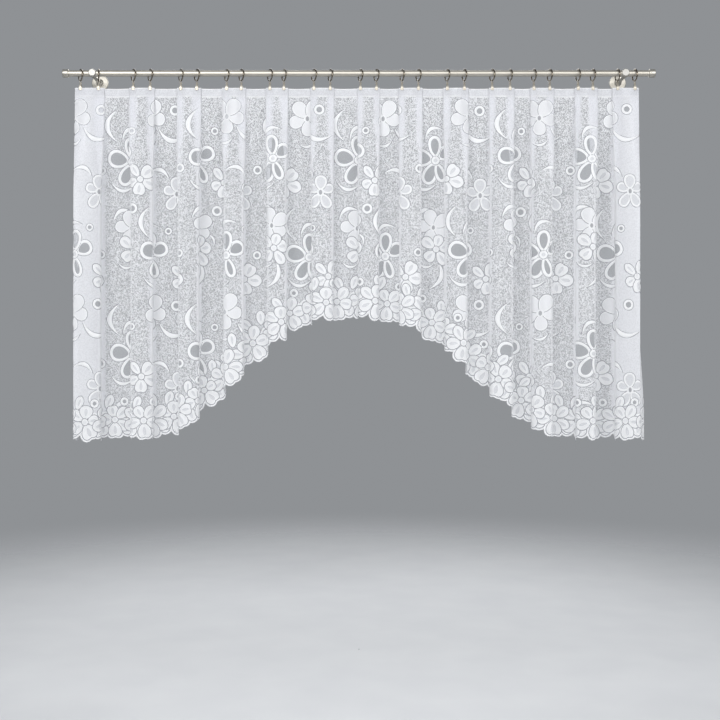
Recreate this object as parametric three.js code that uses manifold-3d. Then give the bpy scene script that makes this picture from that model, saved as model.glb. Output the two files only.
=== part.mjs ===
// A lace net curtain on a curtain rod. The net hangs in thirteen box pleats from twenty-six clip rings.
// Its lower edge is scalloped and rises in an arch at the middle.
// Millimetres. X runs along the rod, +Y points at the wall, +Z is up.
// The origin is the centre of the left wall plate's back face.
import * as THREE from 'three';
import Module from 'manifold-3d';
import { mergeVertices } from 'three/addons/utils/BufferGeometryUtils.js';

const wasm = await Module();
wasm.setup();

const gap = 0.3; // between pieces that touch

// Rod, caps and brackets
const rod = { length: 1800, radius: 9.5 };
const cap = { radius: 12.4, length: 21, end: 2.5, bevel: 1 };
const bracket = {
  spread: 1622, // between the two wall plates
  reach: 97, // from the wall to the rod's axis
  rise: 6, // of the rod's axis above the wall plate's centre
  plateRadius: 26,
  plateThickness: 5,
  bossRadius: 10,
  bossLength: 13,
  armRadius: 6,
  holderRadius: 11.7,
  holderLength: 25,
  holderFront: 11.5, // from the rod's axis to the holder's front
  knobRadius: 10.8,
  knobThickness: 3.5,
};

// Rings and clips
const ring = { radius: 17, wire: 2, turn: 24, turnPerMetre: 14, mostTurn: 32.5, unevenTurn: 2.5 };
const clip = { width: 9, jaw: 1.2, grip: 8, stem: 3, stemLength: 5, fork: 7, shoulder: 1 };

// Cloth
const net = { thickness: 1, topDrop: 44.6, sideDrop: 1066, archRise: 368, archShape: 1.2 };
const archShare = 0.726; // of the cloth's flat width, the part that the arch takes
const scallop = { pitch: 40, depth: 11 };
const topSag = 2; // of the top edge between two pleats
const tape = { thickness: 1, height: 27 };

// Folds. At the heading a pleat's side lies flat between the layers, and lower down it stands on edge.
const tightRadius = { front: 2.2, back: 1.2 };
const looseRadius = { front: 10.5, back: 9 };
const tuckLooseRadius = 3;
const foldOpening = { over: 290, uneven: 35 }; // height over which a fold opens, below the tape
const lean = { least: 5, perMetre: 13.5, uneven: 3, sway: 2.5, swayLength: 260 }; // degrees past square
const pleatSpread = 6; // each way, of a pleat's sides as it opens
const bulge = 4; // of a panel, lower down
const tuckTurn = { opened: 100, flared: 50 }; // degrees, of the tucked side edges
const flare = { from: 560, over: 480 }; // height over which the right edge swings out
const tuckInset = 4; // of the side edges, as they open
const middleOfPleats = -bracket.reach; // Y of the middle of the folds

// The pleats, left to right: the two clips' X from the rod's middle, and the widths of the folded layers
// that they hold
const pleats = [
  { left: -848.8, right: -793.6, leftFold: 35.5, rightFold: 36.5 },
  { left: -687.8, right: -636.2, leftFold: 24, rightFold: 27.5 },
  { left: -542.9, right: -494.1, leftFold: 23, rightFold: 27 },
  { left: -402.9, right: -358.4, leftFold: 28, rightFold: 28 },
  { left: -271.1, right: -228.4, leftFold: 24.5, rightFold: 25 },
  { left: -137.0, right: -87.2, leftFold: 20.5, rightFold: 23 },
  { left: 4.9, right: 53.7, leftFold: 18, rightFold: 20 },
  { left: 131.5, right: 181.7, leftFold: 20, rightFold: 24.5 },
  { left: 269.5, right: 321.6, leftFold: 24.5, rightFold: 25.5 },
  { left: 406.5, right: 461.0, leftFold: 20, rightFold: 25.5 },
  { left: 533.5, right: 582.0, leftFold: 21, rightFold: 25.5 },
  { left: 668.5, right: 713.5, leftFold: 20, rightFold: 29 },
  { left: 788.7, right: 841.5, leftFold: 32.5, rightFold: 25.5 },
];

const finishes = {
  net: { color: 0xf2f3f7, roughness: 0.9, metalness: 0 },
  tape: { color: 0xf6f6f8, roughness: 0.8, metalness: 0 },
  nickel: { color: 0xc9c2b4, roughness: 0.32, metalness: 1 },
  ring: { color: 0x8f8a7c, roughness: 0.35, metalness: 1 },
  clip: { color: 0xcfc8b6, roughness: 0.3, metalness: 1 },
};

const degrees = (angle) => (angle * Math.PI) / 180;
const lerp = (a, b, t) => a + (b - a) * t;
const smooth = (t) => {
  const s = Math.min(1, Math.max(0, t));
  return s * s * (3 - 2 * s);
};

function mesh(name, geometry, finish) {
  const made = new THREE.Mesh(geometry, new THREE.MeshStandardMaterial(finishes[finish]));
  made.name = name;
  return made;
}

// Solids that are joined or cut
function solid(geometry) {
  const bare = geometry.clone();
  bare.deleteAttribute('normal');
  bare.deleteAttribute('uv');
  const merged = mergeVertices(bare, 1e-4);
  return new wasm.Manifold(
    new wasm.Mesh({
      numProp: 3,
      vertProperties: new Float32Array(merged.attributes.position.array),
      triVerts: new Uint32Array(merged.index.array),
    }),
  );
}

function geometryOf(body) {
  const { vertProperties, triVerts } = body.getMesh();
  const made = new THREE.BufferGeometry();
  made.setAttribute('position', new THREE.BufferAttribute(new Float32Array(vertProperties), 3));
  made.setIndex(new THREE.BufferAttribute(new Uint32Array(triVerts), 1));
  return made;
}

// A turned piece whose axis points at the viewer, from y = 0 forwards, as radius and distance pairs
function turnedForwards(profile, segments) {
  const points = profile.map(([radius, distance]) => new THREE.Vector2(radius, distance));
  return new THREE.LatheGeometry(points, segments).rotateX(Math.PI);
}

// The rod and its end caps
function makeRod() {
  const bar = new THREE.CylinderGeometry(rod.radius, rod.radius, rod.length, 24);
  return mesh('rod', bar.rotateZ(Math.PI / 2), 'nickel');
}

function makeCap(side) {
  const bore = rod.radius + gap;
  const inside = cap.length - cap.end;
  const profile = [
    [0, cap.length],
    [cap.radius - cap.bevel, cap.length],
    [cap.radius, cap.length - cap.bevel],
    [cap.radius, 0],
    [bore, 0],
    [bore, inside],
    [0, inside],
  ];
  const points = profile.map(([radius, distance]) => new THREE.Vector2(radius, distance)).reverse();
  const cup = new THREE.LatheGeometry(points, 20).rotateZ(-Math.PI / 2);
  const made = mesh(side < 0 ? 'end_cap_left' : 'end_cap_right', cup, 'nickel');
  made.position.x = side * (rod.length / 2 + gap - inside);
  made.rotation.z = side < 0 ? Math.PI : 0;
  return made;
}

// A bracket, with the centre of its wall plate's back face at its own origin
function makeBracket(name) {
  const b = bracket;
  const plateAndArm = [
    [0, 0],
    [b.plateRadius, 0],
    [b.plateRadius, b.plateThickness - 2],
    [b.plateRadius - 2, b.plateThickness],
    [b.bossRadius, b.plateThickness],
    [b.bossRadius - 1, b.bossLength],
    [b.armRadius, b.bossLength + 2],
    [b.armRadius, b.reach],
    [0, b.reach],
  ];
  const holderBack = b.reach + b.holderFront - b.holderLength;
  const knobBack = b.reach + b.holderFront;
  const knobFront = knobBack + b.knobThickness;
  const holderAndKnob = [
    [0, holderBack],
    [b.holderRadius - 1, holderBack],
    [b.holderRadius, holderBack + 1],
    [b.holderRadius, knobBack - 1],
    [b.knobRadius - 1.5, knobBack],
    [b.knobRadius, knobBack + 1],
    [b.knobRadius, knobFront - 0.8],
    [b.knobRadius - 0.8, knobFront],
    [0, knobFront],
  ];
  const bore = new THREE.CylinderGeometry(rod.radius + gap, rod.radius + gap, 60, 20);
  bore.rotateZ(Math.PI / 2).translate(0, -b.reach, b.rise);
  const arm = solid(turnedForwards(plateAndArm, 20));
  const holder = solid(turnedForwards(holderAndKnob, 20).translate(0, 0, b.rise));
  return mesh(name, geometryOf(arm.add(holder).subtract(solid(bore))), 'nickel');
}

const ringHeight = rod.radius + gap + ring.wire - ring.radius; // of a ring's middle above the rod's axis

// A ring on top of the rod, turned about its own upright axis
function makeRing(number, x) {
  const wire = new THREE.TorusGeometry(ring.radius, ring.wire, 5, 14).rotateY(-Math.PI / 2);
  const made = mesh(`ring_${number}`, wire, 'ring');
  const uneven = ring.unevenTurn * Math.sin(number * 2.4);
  const turn = Math.min(ring.mostTurn, ring.turn - (ring.turnPerMetre * x) / 1000 + uneven);
  const toHolder = Math.abs(Math.abs(x) - bracket.spread / 2) - bracket.holderRadius;
  const room = Math.min(1, (toHolder - ring.wire - 2 * gap) / ring.radius);
  made.position.set(x, 0, ringHeight);
  made.rotation.z = Math.min(degrees(turn), Math.asin(room));
  return made;
}

// A clip under its ring: a stem and two jaws over the heading's folded layers
function makeClip(number, x) {
  const layers = tightRadius.front + tightRadius.back + net.thickness / 2;
  const front = -layers - gap;
  const back = layers + gap + tape.thickness + gap;
  const top = ringHeight - ring.radius - ring.wire - gap;
  const tip = -net.topDrop - clip.grip;
  const shoulder = -net.topDrop + clip.shoulder;
  const half = clip.stem / 2;
  const forkOutside = top - clip.stemLength;
  const outline = new THREE.Shape([
    new THREE.Vector2(half, top),
    new THREE.Vector2(-half, top),
    new THREE.Vector2(-half, forkOutside),
    new THREE.Vector2(front - clip.jaw, shoulder),
    new THREE.Vector2(front - clip.jaw, tip),
    new THREE.Vector2(front, tip),
    new THREE.Vector2(front, shoulder),
    new THREE.Vector2(0, top - clip.fork),
    new THREE.Vector2(back, shoulder),
    new THREE.Vector2(back, tip),
    new THREE.Vector2(back + clip.jaw, tip),
    new THREE.Vector2(back + clip.jaw, shoulder),
    new THREE.Vector2(half, forkOutside),
  ]);
  const bent = new THREE.ExtrudeGeometry(outline, { depth: clip.width, bevelEnabled: false, steps: 1 });
  bent.translate(0, 0, -clip.width / 2);
  bent.applyMatrix4(new THREE.Matrix4().set(0, 0, 1, 0, 1, 0, 0, 0, 0, 1, 0, 0, 0, 0, 0, 1));
  const made = mesh(`clip_${number}`, bent, 'clip');
  made.position.x = x;
  return made;
}

// The sides of the pleats, left to right. The first and last are the tucked side edges of the cloth.
const sides = pleats.flatMap(({ left, right, leftFold, rightFold }) => [
  { x: left, fold: leftFold, way: -1 },
  { x: right, fold: rightFold, way: 1 },
]);
sides.forEach((side, index) => {
  side.tuck = index === 0 || index === sides.length - 1;
  side.index = index;
  side.opensOver = foldOpening.over + foldOpening.uneven * Math.sin(index * 1.9);
  const square = lean.least - (side.way * lean.perMetre * side.x) / 1000;
  side.lean = square + lean.uneven * Math.sin(index * 2.3 + 1);
  const turns = tightRadius.front + tightRadius.back;
  const flat = side.fold - turns - net.thickness;
  side.extra = 2 * flat + Math.PI * turns; // cloth that the folded side takes beyond its width
  side.tuckLength = side.fold - tightRadius.front - net.thickness / 2 + Math.PI * tightRadius.front;
  side.tangent = side.x + side.way * (side.fold / 2 - net.thickness / 2 - tightRadius.front);
});

function openness(side, v) {
  return smooth((v - tape.height) / side.opensOver);
}

// A pleat's side at the height v below the top edge, seen from above: the turn of each of its two folds,
// their radii, and the straight stretch between them
function sideShape(side, v) {
  const open = openness(side, v);
  const front = lerp(tightRadius.front, looseRadius.front, open);
  const back = lerp(tightRadius.back, looseRadius.back, open);
  const sway = lean.sway * Math.sin(v / lean.swayLength + side.index * 1.7);
  const turn = lerp(Math.PI, Math.PI / 2 + degrees(side.lean + sway), open);
  const radii = front + back;
  const straight = (side.extra - radii * (turn - Math.sin(turn))) / (1 - Math.cos(turn));
  const across = radii * Math.sin(turn) + straight * Math.cos(turn);
  const deep = radii * (1 - Math.cos(turn)) + straight * Math.sin(turn);
  const x = side.x + side.way * pleatSpread * open;
  return { front, back, turn, straight, across, deep, x };
}

// The points along a pleat's side, in the order of the cloth's width
function sidePoints(side, v) {
  const s = sideShape(side, v);
  const length = (s.front + s.back) * s.turn + s.straight;
  const points = [];
  for (const share of [0, 0.5, 1]) {
    const a = share * s.turn;
    const x = -s.across / 2 + s.front * Math.sin(a);
    const y = -s.deep / 2 + s.front * (1 - Math.cos(a));
    points.push({ x, y, u: s.front * a });
  }
  for (const share of [1, 0.5, 0]) {
    const a = share * s.turn;
    const x = s.across / 2 - s.back * Math.sin(a);
    const y = s.deep / 2 - s.back * (1 - Math.cos(a));
    points.push({ x, y, u: length - s.back * a });
  }
  const middle = length / 2;
  const placed = points.map(({ x, y, u }) => ({ x: s.x + side.way * x, y, u: side.way * (u - middle) }));
  return side.way < 0 ? placed.reverse() : placed;
}

// The points of a tucked side edge, in the order of the cloth's width, with u counted from its fold
function tuckPoints(side, v, depth) {
  const open = openness(side, v);
  const radius = lerp(tightRadius.front, tuckLooseRadius, open);
  const flared = side.way < 0 ? 0 : smooth((v - flare.from) / flare.over);
  const opened = lerp(degrees(tuckTurn.opened), degrees(tuckTurn.flared), flared);
  const turn = lerp(Math.PI, opened, open);
  const straight = side.tuckLength - radius * turn;
  const points = [0, 0.5, 1].map((share) => {
    const a = share * turn;
    return { x: radius * Math.sin(a), y: radius * (1 - Math.cos(a)), u: radius * a };
  });
  const end = points[2];
  points.push({
    x: end.x + straight * Math.cos(turn),
    y: end.y + straight * Math.sin(turn),
    u: side.tuckLength,
  });
  const placed = points.map(({ x, y, u }) => ({
    x: side.tangent + side.way * (x - tuckInset * open),
    y: y - depth / 2,
    u: side.way * u,
  }));
  return side.way < 0 ? placed.reverse() : placed;
}

// Where each side's middle lies on the flat cloth. Between two of them the cloth's length is the same at
// every height. A tuck counts from its fold's front end.
let along = sides[0].tuckLength;
let reached = sides[0].tangent;
sides[0].u = along;
for (const side of sides.slice(1, -1)) {
  side.u = along + (side.x - reached) + side.extra / 2;
  along = side.u + side.extra / 2;
  reached = side.x;
}
const lastSide = sides[sides.length - 1];
lastSide.u = along + (lastSide.tangent - reached);
const flatWidth = lastSide.u + lastSide.tuckLength;

// Where a side's middle lies on the flat cloth at the height v, which moves as the pleat spreads
function middleOf(side, v) {
  return side.tuck ? side.u : side.u + side.way * pleatSpread * openness(side, v);
}

// The cloth seen from above at the height v, as points in the order of the cloth's width
function section(v) {
  const parts = sides.map((side, index) => {
    if (!side.tuck) return sidePoints(side, v);
    const neighbour = sides[index === 0 ? 1 : index - 1];
    return tuckPoints(side, v, sideShape(neighbour, v).deep);
  });
  const points = [];
  parts.forEach((part, index) => {
    const side = sides[index];
    part.forEach(({ x, y, u }) => points.push({ x, y, u: middleOf(side, v) + u }));
    if (index === parts.length - 1) return;
    const from = points[points.length - 1];
    const next = parts[index + 1][0];
    const to = { x: next.x, y: next.y, u: middleOf(sides[index + 1], v) + next.u };
    const inFront = side.way < 0;
    const steps = inFront ? 2 : 3;
    const bow = (inFront ? -bulge : bulge) * smooth((v - tape.height) / foldOpening.over);
    for (let step = 1; step < steps; step += 1) {
      const t = step / steps;
      points.push({
        x: lerp(from.x, to.x, t),
        y: lerp(from.y, to.y, smooth(t)) + bow * Math.sin(Math.PI * t),
        u: lerp(from.u, to.u, t),
      });
    }
  });
  return points;
}

// How far the top edge hangs through at u, between the sides of the pleats
function sagAt(u) {
  const next = sides.findIndex((side) => side.u > u);
  if (next < 1 || sides[next].way > 0) return 0;
  const t = (u - sides[next - 1].u) / (sides[next].u - sides[next - 1].u);
  return topSag * Math.sin(Math.PI * t) ** 2;
}

// The length of the flat cloth at u, from the top edge down to the scalloped hem
function dropAt(u) {
  const fromMiddle = Math.abs(u - flatWidth / 2) / ((archShare * flatWidth) / 2);
  const arch = 0.5 * (1 + Math.cos(Math.PI * Math.min(1, fromMiddle) ** net.archShape));
  const lobe = Math.abs(Math.sin((Math.PI * (u - flatWidth / 2)) / scallop.pitch)) - 0.5;
  return net.sideDrop - net.archRise * arch + scallop.depth * lobe;
}

function heightAt(u, v) {
  return -net.topDrop - v - sagAt(u) * (1 - smooth(v / tape.height / 2));
}

// Moves a row of points sideways, so that the cloth keeps its thickness round each corner
function shifted(points, distance) {
  const ways = points.slice(1).map((point, index) => {
    const dx = point.x - points[index].x;
    const dy = point.y - points[index].y;
    const length = Math.hypot(dx, dy);
    return { x: -dy / length, y: dx / length };
  });
  return points.map((point, index) => {
    const a = ways[Math.max(0, index - 1)];
    const b = ways[Math.min(ways.length - 1, index)];
    const fit = distance / (1 + a.x * b.x + a.y * b.y);
    return { ...point, x: point.x + (a.x + b.x) * fit, y: point.y + (a.y + b.y) * fit };
  });
}

// A closed sheet from rows of points. Both faces are grids, and the last row has extra points between the
// columns when finer is set, so that the scallops show.
function sheet(rows, back, front, finer) {
  const positions = [];
  const triangles = [];
  const columns = rows[0].length;
  const addRow = (row, distance) => {
    const start = positions.length / 3;
    shifted(row, distance).forEach(({ x, y, z }) => positions.push(x, y, z));
    return start;
  };
  const quad = (a, b, c, d) => triangles.push(a, b, c, a, c, d);
  const faces = [back, front].map((distance) => rows.map((row) => addRow(row, distance)));
  const last = rows[rows.length - 1];
  const between = [back, front].map((distance) => {
    const start = positions.length / 3;
    if (!finer) return start;
    const edge = shifted(last, distance);
    edge.slice(1).forEach((point, index) => {
      const before = edge[index];
      const u = (point.u + before.u) / 2;
      positions.push((point.x + before.x) / 2, (point.y + before.y) / 2, heightAt(u, dropAt(u)));
    });
    return start;
  });
  faces.forEach((starts, face) => {
    const put = face === 0 ? (a, b, c) => triangles.push(a, b, c) : (a, b, c) => triangles.push(a, c, b);
    for (let row = 0; row + 1 < rows.length; row += 1) {
      for (let column = 0; column + 1 < columns; column += 1) {
        const a = starts[row] + column;
        const b = starts[row + 1] + column;
        if (finer && row + 2 === rows.length) {
          const middle = between[face] + column;
          put(a, middle, b);
          put(a, a + 1, middle);
          put(a + 1, b + 1, middle);
        } else {
          put(a, a + 1, b + 1);
          put(a, b + 1, b);
        }
      }
    }
  });
  const [backRows, frontRows] = faces;
  const end = rows.length - 1;
  for (let column = 0; column + 1 < columns; column += 1) {
    const a = backRows[0] + column;
    const b = frontRows[0] + column;
    quad(a, b, b + 1, a + 1);
    const c = backRows[end] + column;
    const d = frontRows[end] + column;
    if (finer) {
      const e = between[0] + column;
      const f = between[1] + column;
      quad(c, e, f, d);
      quad(e, c + 1, d + 1, f);
    } else {
      quad(c, c + 1, d + 1, d);
    }
  }
  for (let row = 0; row < end; row += 1) {
    quad(backRows[row], backRows[row + 1], frontRows[row + 1], frontRows[row]);
    const a = backRows[row] + columns - 1;
    const b = backRows[row + 1] + columns - 1;
    quad(a, frontRows[row] + columns - 1, frontRows[row + 1] + columns - 1, b);
  }
  const made = new THREE.BufferGeometry();
  made.setAttribute('position', new THREE.Float32BufferAttribute(positions, 3));
  made.setIndex(triangles);
  return made;
}

// The heights of the net's rows. The last two follow the hem.
const upperRows = [0, tape.height, 80, 140, 200, 270, 360];

function makeNet() {
  const rows = upperRows.map((v) => section(v).map((point) => ({ ...point, z: heightAt(point.u, v) })));
  const lowest = upperRows[upperRows.length - 1];
  for (const share of [0.5, 1]) {
    const columns = rows[0].length;
    const row = [];
    for (let column = 0; column < columns; column += 1) {
      const u = rows[rows.length - 1][column].u;
      const v = lerp(lowest, dropAt(u), share);
      const point = section(v)[column];
      row.push({ ...point, z: heightAt(point.u, lerp(lowest, dropAt(point.u), share)) });
    }
    rows.push(row);
  }
  const half = net.thickness / 2;
  return mesh('net_panel', sheet(rows, half, -half, true), 'net');
}

function makeTape() {
  const rows = [0.5, tape.height - 1].map((v) =>
    section(0).map((point) => ({ ...point, z: heightAt(point.u, v) })),
  );
  const front = net.thickness / 2 + gap;
  return mesh('heading_tape', sheet(rows, front + tape.thickness, front, false), 'tape');
}

// Everything, measured from the rod's middle and then moved to the frame of the left wall plate
const hung = new THREE.Group();
hung.position.set(bracket.spread / 2, middleOfPleats, bracket.rise);
hung.add(makeRod(), makeCap(-1), makeCap(1));
sides.forEach((side, index) => {
  hung.add(makeRing(index + 1, side.x), makeClip(index + 1, side.x));
});
hung.add(makeNet(), makeTape());

const curtain = new THREE.Group();
const leftBracket = makeBracket('bracket_left');
const rightBracket = makeBracket('bracket_right');
rightBracket.position.x = bracket.spread;
curtain.add(leftBracket, rightBracket, hung);

export default curtain;
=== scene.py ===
# A lace net curtain on a curtain rod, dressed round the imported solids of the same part.
# Lengths are in millimetres and counted from the rod's middle, with Y towards the back, until placed()
# turns them into metres of the frame. On the flat cloth u runs along the width and v down from the top.
import math
from collections import namedtuple
from types import SimpleNamespace as Sizes

import bpy
import numpy as np
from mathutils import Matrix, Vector
from mathutils.geometry import delaunay_2d_cdt
from mathutils.kdtree import KDTree


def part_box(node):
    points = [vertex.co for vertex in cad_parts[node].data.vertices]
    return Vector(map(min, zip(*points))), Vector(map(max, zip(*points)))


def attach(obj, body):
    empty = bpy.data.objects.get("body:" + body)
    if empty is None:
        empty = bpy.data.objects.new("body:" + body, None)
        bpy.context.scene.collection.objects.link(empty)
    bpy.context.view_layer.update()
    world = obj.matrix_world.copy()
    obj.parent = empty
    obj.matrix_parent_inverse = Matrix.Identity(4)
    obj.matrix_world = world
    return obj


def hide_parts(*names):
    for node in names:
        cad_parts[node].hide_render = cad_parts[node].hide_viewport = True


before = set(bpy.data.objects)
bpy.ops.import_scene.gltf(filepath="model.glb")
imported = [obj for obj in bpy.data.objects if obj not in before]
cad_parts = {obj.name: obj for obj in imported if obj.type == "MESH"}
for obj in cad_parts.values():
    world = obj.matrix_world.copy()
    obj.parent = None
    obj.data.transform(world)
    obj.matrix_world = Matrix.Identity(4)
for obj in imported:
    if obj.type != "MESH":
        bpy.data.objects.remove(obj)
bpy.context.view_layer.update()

MM = 0.001
RING_NUMBERS = range(1, 27)


def box_of(node):
    """The lowest and highest corner of a node of the frame, in metres."""
    return [np.array(corner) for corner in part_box(node)]


rod_low, rod_high = box_of("rod")
rod_middle = (rod_low + rod_high) / 2
rod_length = (rod_high - rod_low)[0] / MM
rod_radius = (rod_high - rod_low)[2] / 2 / MM
bracket_x = (box_of("bracket_right")[0] - box_of("bracket_left")[0])[0] / MM / 2
ring_names = [f"ring_{number}" for number in RING_NUMBERS]
clip_names = [f"clip_{number}" for number in RING_NUMBERS]
clip_x = [(np.mean(box_of(name), axis=0) - rod_middle)[0] / MM for name in clip_names]


def placed(points):
    """Millimetres from the rod's middle as metres of the frame."""
    return rod_middle + np.asarray(points, float) * MM


def round_angles(count):
    return np.linspace(0, 2 * math.pi, count, endpoint=False)


# Camera, light and floor
CAMERA_PLACE = (0.8144, -3.497, -0.868)
CAMERA_LENS = 55.74
FLOOR_HEIGHT = -1.75
FLOOR_RADIUS = 3.2
BACKGROUND = (0.275, 0.286, 0.30, 1)
LIGHT_AIM = (0.81, -0.1, -0.55)
Light = namedtuple("Light", "name place size power")
LIGHTS = [
    Light("key_light", (-0.9, -3.5, 0.8), 1.4, 74),
    Light("fill_light", (3.2, -3.1, 0.5), 1.8, 50),
    Light("front_light", (0.9, -4.4, 0.5), 2.6, 64),
    Light("back_light", (0.8, 3.1, 1.6), 2.6, 85),
]


def add_object(name, data):
    made = bpy.data.objects.new(name, data)
    bpy.context.scene.collection.objects.link(made)
    return made


def make_camera():
    camera = add_object("camera", bpy.data.cameras.new("camera"))
    camera.data.lens = CAMERA_LENS
    camera.location = CAMERA_PLACE
    camera.rotation_euler = (math.pi / 2, 0, 0)
    bpy.context.scene.camera = camera


def make_lights():
    for name, place, size, power in LIGHTS:
        light = add_object(name, bpy.data.lights.new(name, "AREA"))
        light.data.size = size
        light.data.energy = power
        light.location = place
        light.rotation_euler = (Vector(LIGHT_AIM) - Vector(place)).to_track_quat("-Z", "Y").to_euler()
    world = bpy.data.worlds.new("studio")
    world.use_nodes = True
    background = world.node_tree.nodes["Background"]
    background.inputs["Color"].default_value = BACKGROUND
    background.inputs["Strength"].default_value = 1.0
    bpy.context.scene.world = world
    bpy.context.scene.view_settings.view_transform = "Standard"


# Node materials. Colours are red, green and blue, and places on the cloth are in metres here.
class Nodes:
    """Short calls for the nodes of one material."""

    def __init__(self, name):
        self.material = bpy.data.materials.new(name)
        self.material.use_nodes = True
        self.tree = self.material.node_tree
        self.shader = self.tree.nodes["Principled BSDF"]

    def fill(self, node, inputs):
        """Links a node's inputs, or sets their values."""
        for name, value in inputs.items():
            socket = node.inputs[name]
            if isinstance(value, bpy.types.NodeSocket):
                self.tree.links.new(value, socket)
            else:
                socket.default_value = (*value, 1) if socket.type == "RGBA" else value

    def add(self, kind, inputs, **settings):
        node = self.tree.nodes.new("ShaderNode" + kind)
        for name, value in settings.items():
            setattr(node, name, value)
        self.fill(node, inputs)
        return node

    def math(self, operation, *values):
        return self.add("Math", dict(enumerate(values)), operation=operation).outputs[0]

    def plus(self, first, second):
        return self.math("ADD", first, second)

    def minus(self, first, second):
        return self.math("SUBTRACT", first, second)

    def times(self, first, second):
        return self.math("MULTIPLY", first, second)

    def most(self, first, second):
        return self.math("MAXIMUM", first, second)

    def step(self, value, low, high):
        """0 below low, 1 above high and smooth between."""
        inputs = {"Value": value, "From Min": low, "From Max": high}
        return self.add("MapRange", inputs, interpolation_type="SMOOTHSTEP").outputs[0]

    def waves(self, place, pitch):
        return self.math("SINE", self.times(place, 2 * math.pi / pitch))

    def mixed(self, share, first, second):
        """One colour turning into another."""
        return self.add("Mix", {"Factor": share, 6: first, 7: second}, data_type="RGBA").outputs[2]

    def noise(self, vector, scale, detail=2.0, dimensions="2D", output="Fac"):
        inputs = {"Vector": vector, "Scale": scale, "Detail": detail}
        return self.add("TexNoise", inputs, noise_dimensions=dimensions).outputs[output]

    def cells(self, vector, scale, feature, output):
        inputs = {"Vector": vector, "Scale": scale}
        return self.add("TexVoronoi", inputs, voronoi_dimensions="2D", feature=feature).outputs[output]

    def scaled(self, vector, scale):
        return self.add("Mapping", {"Vector": vector, "Scale": scale}).outputs[0]

    def place(self):
        return self.add("TexCoord", {}).outputs["Object"]

    def stored(self, name):
        """What keep_flat() stored on the mesh, as a vector and its parts."""
        vector = self.add("Attribute", {}, attribute_name=name).outputs["Vector"]
        parts = self.add("SeparateXYZ", {"Vector": vector}).outputs
        return vector, parts["X"], parts["Y"]

    def bump(self, height, distance):
        bump = self.add("Bump", {"Height": height, "Distance": distance, "Strength": 1.0})
        self.fill(self.shader, {"Normal": bump.outputs[0]})

    def see_through(self, opacity, glow):
        """Puts the shader behind holes, with a share of light passing through the threads."""
        through = self.add("BsdfTranslucent", {"Color": (0.88, 0.89, 0.91)})
        cloth = self.add("MixShader", {0: glow, 1: self.shader.outputs[0], 2: through.outputs[0]})
        hole = self.add("BsdfTransparent", {})
        holes = self.add("MixShader", {0: opacity, 1: hole.outputs[0], 2: cloth.outputs[0]})
        self.fill(self.tree.nodes["Material Output"], {"Surface": holes.outputs[0]})

    def cloth(self, colour, roughness=0.8, sheen=0.15):
        inputs = {"Base Color": colour, "Roughness": roughness, "Sheen Weight": sheen}
        self.fill(self.shader, inputs | {"Specular IOR Level": 0.3})


WHITE = (0.86, 0.865, 0.885)
SHADE = (0.74, 0.75, 0.78)
BRIGHT = (0.95, 0.95, 0.955)
CELL_SCALE = Sizes(ground=590.0, light=560.0, bend=480.0)
CELL_STRETCH = (1.0, 0.72, 1.0)
CELL_BEND = 0.0015
# Where the dense lines of the heading and the heading itself begin or end, down from the top edge
TOP_LINE_ENDS = (0.0020, 0.0032)
LOW_LINE_STARTS = (0.0236, 0.0246)
HEADING_ENDS = (0.0268, 0.0282)
MESH_PITCH = Sizes(across=0.0021, down=0.0024)
RIB = Sizes(pitch=0.0016, slant=0.35)
WEAVE_PITCH = 0.0011


def ground_material():
    """Fine warp-knitted ground: crooked cells about 3 mm long, some closed and some open. It looks
    denser at the heading, where the cloth turns away into a fold, and where it lies in layers. Along the
    fold edges its colour is also lifted towards white, a painted highlight. Where it lies in layers its gaps
    close and its tone is evened out lighter. That is partly the denser pressed layers and partly painted
    light standing in for the light that reaches the inner layers."""
    n = Nodes("net_ground")
    flat, _, down = n.stored("flat")
    _, turned_away, layers = n.stored("fold")
    steep = n.math("POWER", turned_away, 3.0)
    bend = n.noise(flat, CELL_SCALE.bend, 1.0, output="Color")
    crooked = n.add("MixRGB", {"Fac": CELL_BEND, "Color1": flat, "Color2": bend}, blend_type="ADD")
    place = n.scaled(crooked.outputs[0], CELL_STRETCH)
    colours = n.cells(place, CELL_SCALE.ground, "F1", "Color")
    chance = n.add("SeparateColor", {"Color": colours}).outputs[0]
    to_edge = n.cells(place, CELL_SCALE.ground, "DISTANCE_TO_EDGE", "Distance")
    gap = n.times(n.step(chance, 0.42, 0.56), n.step(to_edge, 0.04, 0.15))
    # Where the cloth lies in layers its gaps close: partly the pressed layers' density, partly painted light
    # that keeps the darker inner layers from showing.
    gap = n.times(gap, n.minus(1.0, n.times(layers, 0.8)))
    heading = n.minus(1.0, n.step(down, *HEADING_ENDS))
    low_line = n.times(n.step(down, *LOW_LINE_STARTS), heading)
    lines = n.most(n.minus(1.0, n.step(down, *TOP_LINE_ENDS)), low_line)
    lines = n.times(lines, n.minus(1.0, n.times(layers, 0.6)))
    opacity = n.minus(0.86, n.times(gap, 0.68))
    opacity = n.most(opacity, n.times(heading, 0.74))
    opacity = n.most(opacity, n.times(lines, 0.96))
    crossed = n.plus(1.0, n.times(steep, 3.0))
    opacity = n.minus(1.0, n.math("POWER", n.minus(1.0, opacity), crossed))
    tone = n.noise(n.scaled(flat, (3.0, 1.2, 1.0)), 6.0)
    colour = n.mixed(tone, (0.84, 0.845, 0.87), (0.77, 0.775, 0.805))
    # Where the cloth lies in layers the tone is evened out lighter: painted light standing in for the light
    # between the layers.
    colour = n.mixed(n.times(layers, 0.8), colour, (0.82, 0.825, 0.86))
    # The colour lifted towards BRIGHT along the fold edges (steep) is a painted highlight; the lifted
    # heading lines are the thread's own white.
    colour = n.mixed(n.most(n.times(steep, 0.9), lines), colour, BRIGHT)
    n.cloth(colour)
    n.bump(n.minus(1.0, gap), 0.0004)
    n.see_through(opacity, 0.35)
    return n.material


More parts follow.
